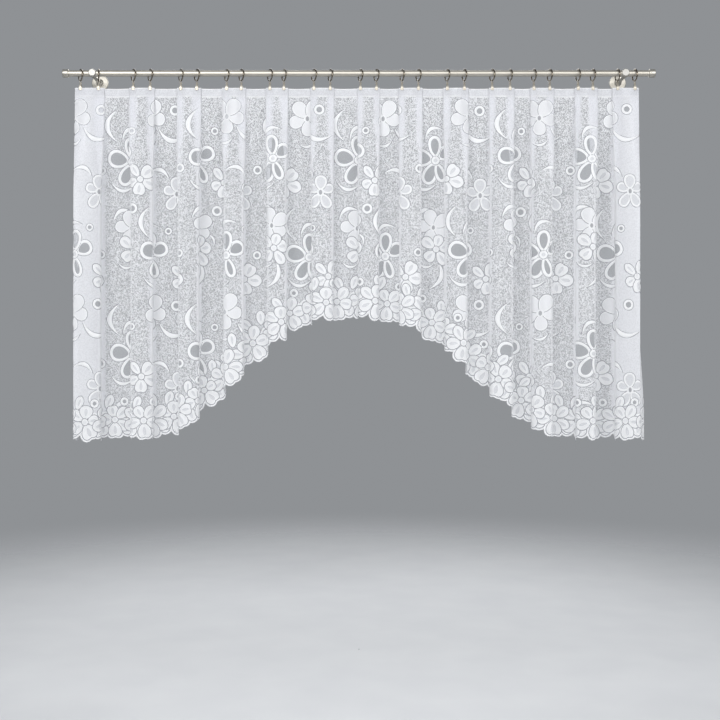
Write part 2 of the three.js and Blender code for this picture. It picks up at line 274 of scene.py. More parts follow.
def mesh_material():
    """The open petals: a square mesh of fine threads, 2 mm apart."""
    n = Nodes("net_open_mesh")
    _, across, down = n.stored("flat")
    warp = n.step(n.waves(across, MESH_PITCH.across), 0.35, 0.75)
    weft = n.step(n.waves(down, MESH_PITCH.down), 0.35, 0.75)
    thread = n.most(warp, weft)
    n.cloth((0.74, 0.76, 0.80))
    n.bump(thread, 0.0003)
    n.see_through(n.plus(0.10, n.times(thread, 0.40)), 0.2)
    return n.material


def filled_material(name, low, high, opacity):
    """The filled petals and rims, closely laid threads that run across."""
    n = Nodes(name)
    flat, across, down = n.stored("flat")
    ribs = n.waves(n.plus(down, n.times(across, RIB.slant)), RIB.pitch)
    uneven = n.noise(n.scaled(flat, (1.0, 3.0, 1.0)), 300.0)
    rib = n.plus(n.times(ribs, 0.5), uneven)
    n.cloth(n.mixed(n.step(rib, 0.1, 1.1), low, high), 0.7, 0.25)
    n.bump(rib, 0.0003)
    n.see_through(n.plus(opacity, n.times(uneven, 0.14)), 0.3)
    return n.material


def light_material():
    """The lightly filled petals: the ground's threads, but close and even."""
    n = Nodes("net_light")
    to_edge = n.cells(n.stored("flat")[0], CELL_SCALE.light, "DISTANCE_TO_EDGE", "Distance")
    hole = n.step(to_edge, 0.08, 0.24)
    n.cloth((0.80, 0.81, 0.84))
    n.bump(n.minus(1.0, hole), 0.0003)
    n.see_through(n.minus(0.95, n.times(hole, 0.26)), 0.25)
    return n.material


def groove_material():
    """The sheer line round a motif. Its threads are coloured dark grey, painted shade along the motif's
    edge; the see-through net is real.
    """
    n = Nodes("net_groove_painted_shade")
    grain = n.noise(n.stored("flat")[0], 700.0)
    # Dark grey thread colour: painted shade round the motif.
    n.cloth(n.mixed(grain, (0.42, 0.44, 0.50), (0.56, 0.58, 0.63)))
    n.bump(grain, 0.0003)
    n.see_through(n.plus(0.20, n.times(grain, 0.3)), 0.15)
    return n.material


def cord_material():
    """The thick threads that edge the petals."""
    n = Nodes("net_cord")
    twist = n.noise(n.stored("flat")[0], 900.0, 1.0)
    n.cloth(n.mixed(n.step(twist, 0.3, 0.7), (0.87, 0.875, 0.885), BRIGHT), 0.7, 0.2)
    n.bump(twist, 0.0004)
    n.see_through(1.0, 0.25)
    return n.material


def tape_material():
    """The heading tape: a plain dense weave."""
    n = Nodes("heading_tape")
    _, across, down = n.stored("flat")
    weave = n.times(n.waves(across, WEAVE_PITCH), n.waves(down, WEAVE_PITCH))
    n.cloth(n.mixed(n.step(weave, -0.8, 0.8), SHADE, WHITE))
    n.bump(weave, 0.0002)
    n.see_through(n.plus(0.84, n.times(weave, 0.08)), 0.3)
    return n.material


ALONG_X = (24, 2200, 2200)
ALONG_Y = (2200, 24, 2200)
ALL_WAYS = (500, 500, 500)
Metal = namedtuple("Metal", "name colour dark roughness grain")
METALS = {
    "rod": Metal("satin_nickel", (0.595, 0.565, 0.505), (0.525, 0.495, 0.435), 0.48, ALONG_X),
    "turned": Metal("satin_nickel_turned", (0.57, 0.545, 0.49), (0.50, 0.475, 0.42), 0.42, ALONG_Y),
    "knob": Metal("pale_nickel", (0.52, 0.51, 0.485), (0.47, 0.46, 0.435), 0.55, ALONG_Y),
    "ring": Metal("ring_metal", (0.24, 0.205, 0.16), (0.13, 0.11, 0.085), 0.24, ALL_WAYS),
    "clip": Metal("clip_metal", (0.56, 0.52, 0.45), (0.42, 0.39, 0.33), 0.42, ALL_WAYS),
}


def metal_material(metal):
    """Satin plated metal: fine brushing along the grain's long way, and a little tarnish."""
    n = Nodes(metal.name)
    place = n.place()
    brushing = n.noise(n.scaled(place, metal.grain), 1.0, 3.0, "3D")
    tarnish = n.noise(place, 34.0, 4.0, "3D")
    share = n.plus(n.times(brushing, 0.4), n.times(tarnish, 0.6))
    colour = n.mixed(n.step(share, 0.2, 0.8), metal.dark, metal.colour)
    roughness = n.plus(metal.roughness - 0.06, n.times(brushing, 0.14))
    n.fill(n.shader, {"Base Color": colour, "Metallic": 1.0, "Roughness": roughness})
    n.bump(brushing, 0.000006)
    return n.material


def floor_material():
    """A pale floor that fades out towards its rim."""
    n = Nodes("studio_floor")
    place = n.place()
    distance = n.add("VectorMath", {0: place}, operation="LENGTH").outputs["Value"]
    colour = n.mixed(n.noise(place, 5.0, 2.0, "3D"), (0.62, 0.63, 0.65), (0.70, 0.71, 0.72))
    fade = n.minus(1.0, n.step(distance, 0.25 * FLOOR_RADIUS, FLOOR_RADIUS))
    n.fill(n.shader, {"Base Color": colour, "Roughness": 0.9, "Alpha": fade})
    return n.material


# Meshes
def make_object(name, points, faces, materials):
    """A smooth object from points in metres of the frame."""
    mesh = bpy.data.meshes.new(name)
    mesh.from_pydata(np.asarray(points).tolist(), [], faces)
    mesh.update()
    for material in materials:
        mesh.materials.append(material)
    mesh.shade_smooth()
    return add_object(name, mesh)


def keep_flat(made, u, v):
    """Stores each point's place on the flat cloth, in metres, and with it how far the cloth turns into
    its folds there and whether it lies there in three layers."""
    u, v = np.asarray(u, float), np.asarray(v, float)
    flat = np.stack([u, v, 0 * u], axis=1) * MM
    fold = np.stack([np.abs(slope(u, v)[1]), layered(plan(u, v)[0], v), 0 * u], axis=1)
    for name, vectors in (("flat", flat), ("fold", fold)):
        attribute = made.data.attributes.new(name, "FLOAT_VECTOR", "POINT")
        attribute.data.foreach_set("vector", vectors.ravel())


class Shell:
    """Points and faces of pieces that are joined into one mesh, in millimetres."""

    def __init__(self):
        self.points = []
        self.faces = []

    def grid(self, rows, closed_rows=False, closed_columns=False):
        """Faces between rows of points."""
        rows = np.asarray(rows, float)
        start = sum(len(points) for points in self.points)
        count, across = rows.shape[:2]
        self.points.append(rows.reshape(-1, 3))
        for i in range(count if closed_rows else count - 1):
            here, following = start + i * across, start + (i + 1) % count * across
            for j in range(across if closed_columns else across - 1):
                k = (j + 1) % across
                self.faces.append((here + j, here + k, following + k, following + j))

    def lathe(self, profile, segments, place=(0, 0, 0), to_front=False):
        """A piece turned about X, or about the way to the viewer, from (radius, distance) pairs."""
        angles = round_angles(segments)
        rows = []
        for radius, distance in profile:
            first, second = radius * np.cos(angles), radius * np.sin(angles)
            along = np.full(segments, distance)
            rows.append(np.stack([first, -along, second] if to_front else [along, first, second], axis=1))
        self.grid(np.array(rows) + place, closed_columns=True)

    def made(self, name, material):
        return make_object(name, placed(np.concatenate(self.points)), self.faces, [material])


# Rod, caps and brackets
CAP = Sizes(radius=12.4, length=18.5, end=2.5)
# The bracket's round parts by their radius, along the way from the plate to the front knob
BRACKET = Sizes(reach=97, rise=6, plate=26, plate_end=5, boss=10, boss_end=13, arm=6, holder=11.7,
                holder_length=25, holder_front=11.5, knob=10.8, knob_length=3.5)
GAP = 0.3
AXIS = 0.01  # the radius that closes a turned end


def make_rod(metal):
    half, edge = rod_length / 2, 0.6
    profile = [(AXIS, -half), (rod_radius - edge, -half), (rod_radius, -half + edge)]
    profile += [(rod_radius, x) for x in np.linspace(-half + 2 * edge, half - 2 * edge, 40)]
    profile += [(rod_radius, half - edge), (rod_radius - edge, half), (AXIS, half)]
    shell = Shell()
    shell.lathe(profile, 64)
    return shell.made("rod_bar", metal)


def make_cap(name, side, metal):
    """A cup over the rod's end with rounded rims."""
    radius, end = CAP.radius, rod_length / 2 + GAP + CAP.end
    start, bore = end - CAP.length, rod_radius + GAP
    profile = [(bore, start + 1.6), (bore, start + 0.5), (bore + 0.4, start + 0.1), (bore + 1.2, start)]
    profile += [(radius - 0.7, start + 0.4), (radius - 0.2, start + 1.1), (radius, start + 2)]
    profile += [(radius, start + 8), (radius, end - 1.4)]
    profile += [(radius - 0.4, end - 0.4), (radius - 1.4, end), (radius * 0.5, end + 0.01), (AXIS, end)]
    shell = Shell()
    shell.lathe([(r, side * x) for r, x in profile], 48)
    return shell.made(name, metal)


def make_bracket(name, side, metal, knob_metal):
    """A round plate, an arm, a holder round the rod and a round knob in front."""
    b = BRACKET
    front = b.reach + b.holder_front
    back, tip = front - b.holder_length, front + b.knob_length
    arm = [(AXIS, 0), (b.plate - 0.6, 0), (b.plate, 0.6), (b.plate, b.plate_end - 1.8)]
    arm += [(b.plate - 0.6, b.plate_end - 0.6), (b.plate - 2, b.plate_end), (b.boss + 2, b.plate_end)]
    arm += [(b.boss + 0.4, b.plate_end + 0.6), (b.boss, b.plate_end + 2), (b.boss, b.boss_end - 1.5)]
    arm += [(b.boss - 1.2, b.boss_end), (b.arm + 0.6, b.boss_end + 0.6), (b.arm, b.boss_end + 2)]
    arm += [(b.arm, b.reach - 6)]
    holder = [(AXIS, back), (b.holder - 1.4, back), (b.holder - 0.4, back + 0.4), (b.holder, back + 1.4)]
    holder += [(b.holder, front - 1.2), (b.holder - 0.4, front - 0.3), (b.holder - 1.8, front)]
    knob = [(b.knob - 2.4, front), (b.knob - 0.8, front + 0.2), (b.knob, front + 0.9)]
    knob += [(b.knob, tip - 0.9), (b.knob - 0.3, tip - 0.3), (b.knob - 1.0, tip), (b.knob - 4.4, tip)]
    knob += [(b.knob - 5.0, tip - 0.12), (b.knob - 5.6, tip - 0.12), (b.knob - 6.2, tip), (AXIS, tip)]
    place = np.array([side * bracket_x, b.reach, 0])
    body, front_knob = Shell(), Shell()
    body.lathe(arm, 48, place - [0, 0, b.rise], to_front=True)
    body.lathe(holder, 48, place, to_front=True)
    front_knob.lathe(knob, 48, place, to_front=True)
    return body.made(name, metal), front_knob.made(name + "_knob", knob_metal)


# Rings and clips
RING = Sizes(radius=17, wire=2, turn=24, per_metre=14, most=32.5, uneven=2.5)
RING_HEIGHT = rod_radius + GAP + RING.wire - RING.radius
CLIP = Sizes(eye=3.1, eye_wire=0.75, top=-27.4, plate=0.9, pin_drop=2.6, roundness=0.35)
PIN_PROFILE = [(AXIS, -3.6), (1.1, -3.6), (1.3, -3.3), (1.3, 3.3), (1.1, 3.6), (AXIS, 3.6)]
# A clip's jaw: its share of the clip's depth, how far it lies below the top, and its width
Jaw = namedtuple("Jaw", "out down width")
JAW = [
    Jaw(0.1, -0.6, 3.22), Jaw(0.16, 1, 4.6), Jaw(0.42, 4.5, 4.6), Jaw(0.75, 9, 5.29), Jaw(1, 13.5, 6.67),
    Jaw(1.06, 16, 8.1), Jaw(1, 18.5, 9), Jaw(0.86, 20.5, 9), Jaw(0.88, 22.5, 9), Jaw(1.02, 24.7, 8.28),
]


def ring_turn(number, x):
    """How far a ring has swung round, less beside a holder."""
    turn = RING.turn - RING.per_metre * x / 1000 + RING.uneven * math.sin(number * 2.4)
    to_holder = abs(abs(x) - bracket_x) - BRACKET.holder
    room = min(1, (to_holder - RING.wire - 2 * GAP) / RING.radius)
    return min(math.radians(min(RING.most, turn)), math.asin(room))


def torus(radius, wire, steps, sides, turn):
    """Rows of points of a ring that hangs upright, turned about Z from the YZ plane."""
    around = round_angles(sides)
    out = radius + wire * np.cos(around)
    rows = []
    for a in round_angles(steps):
        rows.append(np.stack([wire * np.sin(around), out * math.sin(a), out * math.cos(a)], axis=1))
    c, s = math.cos(turn), math.sin(turn)
    return np.array(rows) @ np.array([[c, s, 0], [-s, c, 0], [0, 0, 1]])


def make_rings(metal):
    shell = Shell()
    for number, x in enumerate(clip_x, 1):
        ring = torus(RING.radius, RING.wire, 56, 12, ring_turn(number, x))
        shell.grid(ring + [x, 0, RING_HEIGHT], closed_rows=True, closed_columns=True)
    return shell.made("rings", metal)


def strap(path, widths, thickness):
    """Rows of points of a flat strap with rounded edges and closed ends, along (y, z) points."""
    path = np.asarray(path, float)
    along = np.gradient(path, axis=0)
    along /= np.linalg.norm(along, axis=1)[:, None]
    angles = round_angles(12)
    x, deep = (np.sign(part) * np.abs(part) ** CLIP.roundness for part in (np.cos(angles), np.sin(angles)))
    half = deep * thickness / 2
    rows = []
    for (y, z), (ay, az), width in zip(path, along, widths):
        rows.append(np.stack([x * width / 2, y - az * half, z + ay * half], axis=1))
    ends = [np.tile(row.mean(axis=0), (len(angles), 1)) for row in (rows[0], rows[-1])]
    return np.array([ends[0], *rows, ends[1]])


def make_clips(metal):
    """Clips with an eye round the ring, a hinge pin and two jaws that grip the heading."""
    shell = Shell()
    top, thick = CLIP.top, CLIP.plate
    for number, (name, x) in enumerate(zip(clip_names, clip_x), 1):
        front, back = ((corner - rod_middle)[1] / MM for corner in box_of(name))
        eye = torus(CLIP.eye, CLIP.eye_wire, 28, 8, ring_turn(number, x) + math.pi / 2)
        shell.grid(eye + [x, 0, top + CLIP.eye], closed_rows=True, closed_columns=True)
        for edge in (front + thick / 2, back - thick / 2):
            path = [(jaw.out * edge, top - jaw.down) for jaw in JAW]
            jaw_rows = strap(path, [jaw.width for jaw in JAW], thick)
            shell.grid(jaw_rows + [x, 0, 0], closed_columns=True)
        shell.lathe(PIN_PROFILE, 12, (x, 0, top - CLIP.pin_drop))
    return shell.made("clips", metal)


# The hung cloth, as in the solids
DROP = 44.6  # of the cloth's top edge below the rod's axis
SIDE_DROP = 1066
ARCH_RISE = 368
ARCH_SHARE = 0.726
ARCH_SHAPE = 1.2
TOP_SAG = 2
TAPE = Sizes(height=27, thickness=1)
NET_THICKNESS = 1
TIGHT = Sizes(front=2.2, back=1.2)
LOOSE = Sizes(front=10.5, back=9)
TUCK_LOOSE = 3
OPENS_OVER = Sizes(height=290, uneven=35)
LEAN = Sizes(least=5, per_metre=13.5, uneven=3, sway=2.5, sway_length=260)
PLEAT_SPREAD = 6
BULGE = 4
TUCK_TURN = Sizes(opened=100, flared=50)
FLARE = Sizes(start=560, over=480)
TUCK_INSET = 4
# The ripple of the panels between the folds, lower down
RIPPLE = Sizes(height=1.3, length=84, start=180, over=500, wander=0.7, wander_length=170)
FOLD_REACH = 130  # more than a side of a pleat takes up of the flat cloth, either way
FOLD_WIDTH = 90  # more than it takes up as hung
# The widths of the folded layers under each clip, two clips to a pleat
FOLDED = [
    (35.5, 36.5), (24, 27.5), (23, 27), (28, 28), (24.5, 25), (20.5, 23), (18, 20),
    (20, 24.5), (24.5, 25.5), (20, 25.5), (21, 25.5), (20, 29), (32.5, 25.5),
]
QUARTERS = np.array([[0, 0.25, 0.5, 0.75]])
FIFTHS = np.array([[0, 0.25, 0.5, 0.75, 1]])


def smooth(t):
    s = np.clip(t, 0, 1)
    return s * s * (3 - 2 * s)


def lerp(a, b, t):
    return a + (b - a) * t


Shape = namedtuple("Shape", "front back turn straight across deep x length")


class Side:
    """One side of a pleat. The first and last are the tucked side edges of the cloth."""

    def __init__(self, index, x, fold):
        self.index = index
        self.x = x
        self.fold = fold
        self.way = -1 if index % 2 == 0 else 1
        self.tuck = index in (0, len(clip_x) - 1)
        self.opens_over = OPENS_OVER.height + OPENS_OVER.uneven * math.sin(index * 1.9)
        square = LEAN.least - self.way * LEAN.per_metre * x / 1000
        self.lean = square + LEAN.uneven * math.sin(index * 2.3 + 1)
        turns = TIGHT.front + TIGHT.back
        self.extra = 2 * (fold - turns - NET_THICKNESS) + math.pi * turns
        self.tuck_length = fold - TIGHT.front - NET_THICKNESS / 2 + math.pi * TIGHT.front
        self.tangent = x + self.way * (fold / 2 - NET_THICKNESS / 2 - TIGHT.front)
        self.u = 0

    def openness(self, v):
        return smooth((v - TAPE.height) / self.opens_over)

    def shape(self, v):
        """The side at the height v, seen from above."""
        opened = self.openness(v)
        front = lerp(TIGHT.front, LOOSE.front, opened)
        back = lerp(TIGHT.back, LOOSE.back, opened)
        sway = LEAN.sway * np.sin(v / LEAN.sway_length + self.index * 1.7)
        turn = lerp(math.pi, math.pi / 2 + np.radians(self.lean + sway), opened)
        radii = front + back
        straight = (self.extra - radii * (turn - np.sin(turn))) / (1 - np.cos(turn))
        across = radii * np.sin(turn) + straight * np.cos(turn)
        deep = radii * (1 - np.cos(turn)) + straight * np.sin(turn)
        x = self.x + self.way * PLEAT_SPREAD * opened
        return Shape(front, back, turn, straight, across, deep, x, radii * turn + straight)

    def tuck_shape(self, v):
        """The radius and turn of a side edge's fold, and how far it opens."""
        opened = self.openness(v)
        flared = smooth((v - FLARE.start) / FLARE.over) if self.way > 0 else 0 * v
        most = lerp(math.radians(TUCK_TURN.opened), math.radians(TUCK_TURN.flared), flared)
        return lerp(TIGHT.front, TUCK_LOOSE, opened), lerp(math.pi, most, opened), opened

    def middle(self, v):
        return self.u + self.way * PLEAT_SPREAD * self.openness(v)

    def span(self, v):
        """Where the side starts and ends on the flat cloth."""
        if self.tuck:
            end = self.u + self.way * self.tuck_length + 0 * v
            start = self.u + 0 * v
            return (end, start) if self.way < 0 else (start, end)
        half = self.shape(v).length / 2
        return self.middle(v) - half, self.middle(v) + half

    def samples(self, v):
        """Places on the flat cloth that follow the side's bends at the heights v, one row for each."""
        v = v[:, None]
        if self.tuck:
            radius, turn, _ = self.tuck_shape(v)
            bend = radius * turn
            places = [bend * QUARTERS, bend + (self.tuck_length - bend) * FIFTHS]
            return self.u + self.way * np.concatenate(places, axis=1)
        s = self.shape(v)
        first, last = s.front * s.turn, s.back * s.turn
        places = [first * QUARTERS, first + s.straight * QUARTERS, s.length - last * FIFTHS[:, ::-1]]
        return self.middle(v) + self.way * (np.concatenate(places, axis=1) - s.length / 2)

    def place(self, u, v):
        """X and Y of the cloth where it lies on this side."""
        if self.tuck:
            depth = sides[1 if self.index == 0 else -2].shape(v).deep
            radius, turn, opened = self.tuck_shape(v)
            d = self.way * (u - self.u)
            a = np.clip(d / radius, 0, turn)
            past = np.maximum(d - radius * turn, 0)
            x = radius * np.sin(a) + past * np.cos(turn)
            y = radius * (1 - np.cos(a)) + past * np.sin(turn)
            return self.tangent + self.way * (x - TUCK_INSET * opened), y - depth / 2
        s = self.shape(v)
        d = self.way * (u - self.middle(v)) + s.length / 2
        a = np.clip(d / s.front, 0, s.turn)
        past = np.clip(d - s.front * s.turn, 0, s.straight)
        front_x = -s.across / 2 + s.front * np.sin(a) + past * np.cos(s.turn)
        front_y = -s.deep / 2 + s.front * (1 - np.cos(a)) + past * np.sin(s.turn)
        c = np.clip((s.length - d) / s.back, 0, s.turn)
        behind = s.length - d < s.back * s.turn
        x = np.where(behind, s.across / 2 - s.back * np.sin(c), front_x)
        y = np.where(behind, s.deep / 2 - s.back * (1 - np.cos(c)), front_y)
        return s.x + self.way * x, y


sides = [Side(index, x, FOLDED[index // 2][index % 2]) for index, x in enumerate(clip_x)]


def spread_sides():
    """Gives each side its place on the flat cloth, and returns the cloth's width."""
    sides[0].u = along = sides[0].tuck_length
    reached = sides[0].tangent
    for side in sides[1:-1]:
        side.u = along + (side.x - reached) + side.extra / 2
        along = side.u + side.extra / 2
        reached = side.x
    sides[-1].u = along + sides[-1].tangent - reached
    return sides[-1].u + sides[-1].tuck_length


WIDTH = spread_sides()


def plan(u, v):
    """X and Y of the cloth, seen from above."""
    x, y = np.zeros_like(u), np.zeros_like(u)
    for side, following in zip(sides, sides[1:] + [None]):
        reach = 0 if following is None else following.u - side.u
        near = np.nonzero((u > side.u - FOLD_REACH) & (u < side.u + reach + FOLD_REACH))[0]
        nu, nv = u[near], v[near]
        start, end = side.span(nv)
        on = (nu >= start - 1e-6) & (nu <= end + 1e-6)
        x[near[on]], y[near[on]] = side.place(nu[on], nv[on])
        if following is None:
            continue
        until = following.span(nv)[0]
        on = (nu > end) & (nu < until)
        nu, nv, end, until = nu[on], nv[on], end[on], until[on]
        ax, ay = side.place(end, nv)
        bx, by = following.place(until, nv)
        t = (nu - end) / (until - end)
        bow = side.way * BULGE * smooth((nv - TAPE.height) / OPENS_OVER.height)
        wander = RIPPLE.wander * np.sin(nv / RIPPLE.wander_length)
        ripple = RIPPLE.height * smooth((nv - RIPPLE.start) / RIPPLE.over)
        ripple *= np.sin(2 * math.pi * nu / RIPPLE.length + wander)
        x[near[on]] = lerp(ax, bx, t)
        y[near[on]] = lerp(ay, by, smooth(t)) + (bow + ripple) * np.sin(math.pi * t)
    return x, y


def layered(x, v):
    """Where the cloth is folded back on itself, seen from the front: 1 there and 0 elsewhere."""
    total = np.zeros_like(x)
    for side in sides:
        near = np.nonzero(np.abs(x - side.x) < FOLD_WIDTH)[0]
        if side.tuck:
            beside = sides[1 if side.index == 0 else -2]
            across = side.way * (x[near] - side.x)
            low, high = -abs(beside.x - side.x) - PLEAT_SPREAD - 2, side.fold
        else:
            s = side.shape(v[near])
            across = side.way * (x[near] - s.x)
            low, high = s.across / 2 - s.back, s.front - s.across / 2
        here = smooth((across - low) / 2 + 0.5) * smooth((high - across) / 2 + 0.5)
        total[near] = np.maximum(total[near], here)
    return total


def sag(u):
    """How far the top edge hangs through between two pleats."""
    total = np.zeros_like(u)
    for side, following in zip(sides[1::2], sides[2::2]):
        t = np.clip((u - side.u) / (following.u - side.u), 0, 1)
        total += TOP_SAG * np.sin(math.pi * t) ** 2
    return total


def slope(u, v):
    """The cloth's direction along u, seen from above."""
    near = 0.4
    x0, y0 = plan(np.maximum(u - near, 0), v)
    x1, y1 = plan(np.minimum(u + near, WIDTH), v)
    dx, dy = x1 - x0, y1 - y0
    length = np.maximum(np.hypot(dx, dy), 1e-9)
    return dx / length, dy / length


def hung(u, v, proud=0.0):
    """Places on the flat cloth as points in millimetres, moved towards the cloth's front by proud."""
    u, v = np.asarray(u, float), np.asarray(v, float)
    x, y = plan(u, v)
    dx, dy = slope(u, v)
    z = -DROP - v - sag(u) * (1 - smooth(v / TAPE.height / 2))
    return np.stack([x + proud * dy, y - proud * dx, z], axis=1)


def hem(u):
    """The length of the flat cloth at u, down to the middle of the hem's scallops."""
    from_middle = np.abs(u - WIDTH / 2) / (ARCH_SHARE * WIDTH / 2)
    arch = 0.5 * (1 + np.cos(math.pi * np.minimum(1, from_middle) ** ARCH_SHAPE))
    return SIDE_DROP - ARCH_RISE * arch


# The lace. Angles are in degrees, clockwise from the top, and point is how sharp a petal's tip is.
# A petal's row in the tables has the columns of Petal.
GROUND, OPEN, SOLID, LIGHT, GROOVE, RIM = range(6)
Petal = namedtuple("Petal", "angle base length width notch point", defaults=(0, 1))


def flower(lace, *rows):
    """A flower's kind of lace and its petals."""
    return lace, [Petal(*row) for row in rows]


FLOWERS = {
    "open": flower("open", (-80, 8, 67, 54), (55, 9, 54, 46), (203, 8, 70, 45), (161, 8, 62, 32),
                   (-3, 9, 65, 40)),
    "solid": flower("solid", (-105, 5, 52, 38), (178, 5, 48, 38), (96, 5, 47, 38), (-38, 5, 56, 42),
                    (30, 5, 56, 42)),
    "light": flower("light", (-64, 6, 38, 29), (64, 6, 38, 29), (212, 6, 48, 32), (148, 6, 48, 32),
                    (0, 6, 46, 37)),
    "bud": flower("full", (-120, 9, 32, 29), (-42, 9, 44, 24, 0, 1.3), (176, 8, 42, 35, 4),
                  (102, 8, 46, 37, 0, 1.4), (34, 8, 44, 38, 4)),
    "curled": flower("full", (-135, 9, 38, 35, 3), (150, 9, 46, 30), (78, 9, 34, 36, 0, 1.4),
                     (16, 8, 36, 29), (-50, 9, 44, 32)),
}
BORDER_FLOWERS = [
    flower("full", (-88, 9, 30, 35), (-12, 9, 36, 33, 3), (50, 9, 44, 32, 0, 1.3),
           (124, 9, 43, 31, 0, 1.4), (180, 9, 45, 40, 6)),
    flower("full", (-50, 9, 46, 30, 0, 1.4), (12, 9, 38, 38), (86, 9, 32, 30), (162, 9, 45, 43, 6),
           (-118, 9, 42, 34, 0, 1.2)),
    flower("full", (-30, 9, 38, 31), (34, 9, 44, 33, 0, 1.3), (100, 9, 38, 33, 3), (172, 9, 45, 38, 5),
           (-106, 9, 42, 32, 0, 1.3)),
]
BORDER_LEAF = Petal(0, 40, 42, 25, 0, 1.4)
BORDER_FILLER = Petal(180, 0, 40, 30, 0, 1.2)

OUTLINE = 1.8
# A petal without a filling has a vein
Lace = namedtuple("Lace", "groove cord rim filling", defaults=(None, None))
LACES = {
    "open": Lace(OUTLINE, 7.2, 8.4, OPEN),
    "light": Lace(OUTLINE, 4.8, 5.6, LIGHT),
    "solid": Lace(2.0, 2.8, 3.2, SOLID),
    "full": Lace(2.4, 3.0),
}
EGG = Sizes(base_sharpness=1.12, wider_outside=0.24, notch_width=0.3)
POINTS = {"petal": 24, "groove": 22, "filling": 20, "vein": 14, "disc": 16, "ring": 18, "hole": 12}

Patch = namedtuple("Patch", "points zone edge")
Cord = namedtuple("Cord", "points width height below closed")
patches = []  # each over the ones before it
cords = []  # each over the patches before its number below


def laid_out(centre, angle, along, across):
    """Places on the flat cloth from distances along and across an angle."""
    s, c = math.sin(math.radians(angle)), math.cos(math.radians(angle))
    return np.stack([centre[0] + along * s + across * c, centre[1] - along * c + across * s], axis=1)


def petal_points(centre, petal, turn, scale, inset=0.0, count=POINTS["petal"]):
    """An egg that is wider outside, its tip drawn in by the notch."""
    length = petal.length * scale - 2 * inset
    width = petal.width * scale - 2 * inset
    base = petal.base * scale + inset
    a = round_angles(count)
    notch = petal.notch * scale * np.exp(-(((a - math.pi) / EGG.notch_width) ** 2))
    along = base + length / 2 * (1 - np.cos(a)) - notch
    power = np.where(np.cos(a) < 0, petal.point, EGG.base_sharpness)
    round_part = np.sign(np.sin(a)) * np.abs(np.sin(a)) ** power
    across = width / 2 * round_part * (1 - EGG.wider_outside * np.cos(a))
    return laid_out(centre, petal.angle + turn, along, across)


def circle_points(centre, radius, count=POINTS["disc"]):
    a = round_angles(count)
    return laid_out(centre, 0, radius * np.cos(a), radius * np.sin(a))


def crescent_points(centre, moon, grown=0.0):
    """A moon whose back faces its angle, with its two tips its span apart."""
    t = np.linspace(-1, 1, 14)
    outer = moon.bow * (1 - t**2) + grown * (1 - t**4)
    inner = ((moon.bow - moon.thickness) * (1 - t**2) - grown * (1 - t**4))[1:-1]
    across = np.concatenate([t, t[-2:0:-1]]) * (moon.span / 2 + 1.6 * grown)
    return laid_out(centre, moon.angle, np.concatenate([outer, inner[::-1]]) - moon.bow / 2, across)


def add_patch(points, zone, edge=False):
    patches.append(Patch(points, zone, edge))


def add_cord(points, width, height=1.0, closed=True):
    cords.append(Cord(points, width, height, len(patches), closed))


def add_petal(centre, petal, kind, turn=0.0, scale=1.0):
    """A petal of one of the lace's kinds."""
    def outline(inset, part="petal", shape=petal):
        return petal_points(centre, shape, turn, scale, inset, POINTS[part])

    lace = LACES[kind]
    add_patch(outline(-lace.groove, "groove"), GROOVE)
    add_patch(outline(0), RIM)
    if lace.filling is not None:
        add_patch(outline(lace.rim, "filling"), lace.filling)
    add_cord(outline(lace.cord * 0.6), lace.cord)
    if lace.filling is None:
        base, length, width = petal.base + petal.length * 0.2, petal.length * 0.6, petal.width * 0.28
        vein = Petal(petal.angle, base, length, width, 0, 1.2)
        add_patch(outline(0, "vein", vein), LIGHT)
        add_cord(outline(-1.2, "vein", vein), 2.2, 0.9)


def add_ring(centre, radius, hole, zone=OPEN):
    add_patch(circle_points(centre, radius + OUTLINE, POINTS["ring"]), GROOVE)
    add_patch(circle_points(centre, radius, POINTS["ring"]), RIM)
    add_patch(circle_points(centre, hole, POINTS["hole"]), zone)
    add_cord(circle_points(centre, (radius + hole) / 2, POINTS["ring"]), (radius - hole) * 0.8)


def add_flower(centre, lace, petals, turn, scale):
    for petal in petals:
        add_petal(centre, petal, lace, turn, scale)
    if lace == "open":
        add_ring(centre, 12.5 * scale, 6 * scale, LIGHT)
    elif lace == "full":
        add_patch(circle_points(centre, 11.4 * scale), GROOVE)
        add_patch(circle_points(centre, 9.2 * scale), RIM)
        add_patch(circle_points(centre, 5.4 * scale, POINTS["hole"]), SOLID)
        add_cord(circle_points(centre, 7.2 * scale), 2.6)
    else:
        add_patch(circle_points(centre, 11 * scale), RIM)
        add_patch(circle_points((0, 0), 6.2 * scale) * [0.82, 1.2] + centre, OPEN)


def add_crescent(centre, moon):
    add_patch(crescent_points(centre, moon, OUTLINE), GROOVE)
    add_patch(crescent_points(centre, moon), RIM)
    t = np.linspace(-0.93, 0.93, 15)
    along = (moon.bow - moon.thickness / 2) * (1 - t**2) - moon.bow / 2
    widths = 0.4 + 0.66 * moon.thickness * (1 - t**2)
    add_cord(laid_out(centre, moon.angle, along, t * moon.span / 2), widths, closed=False)


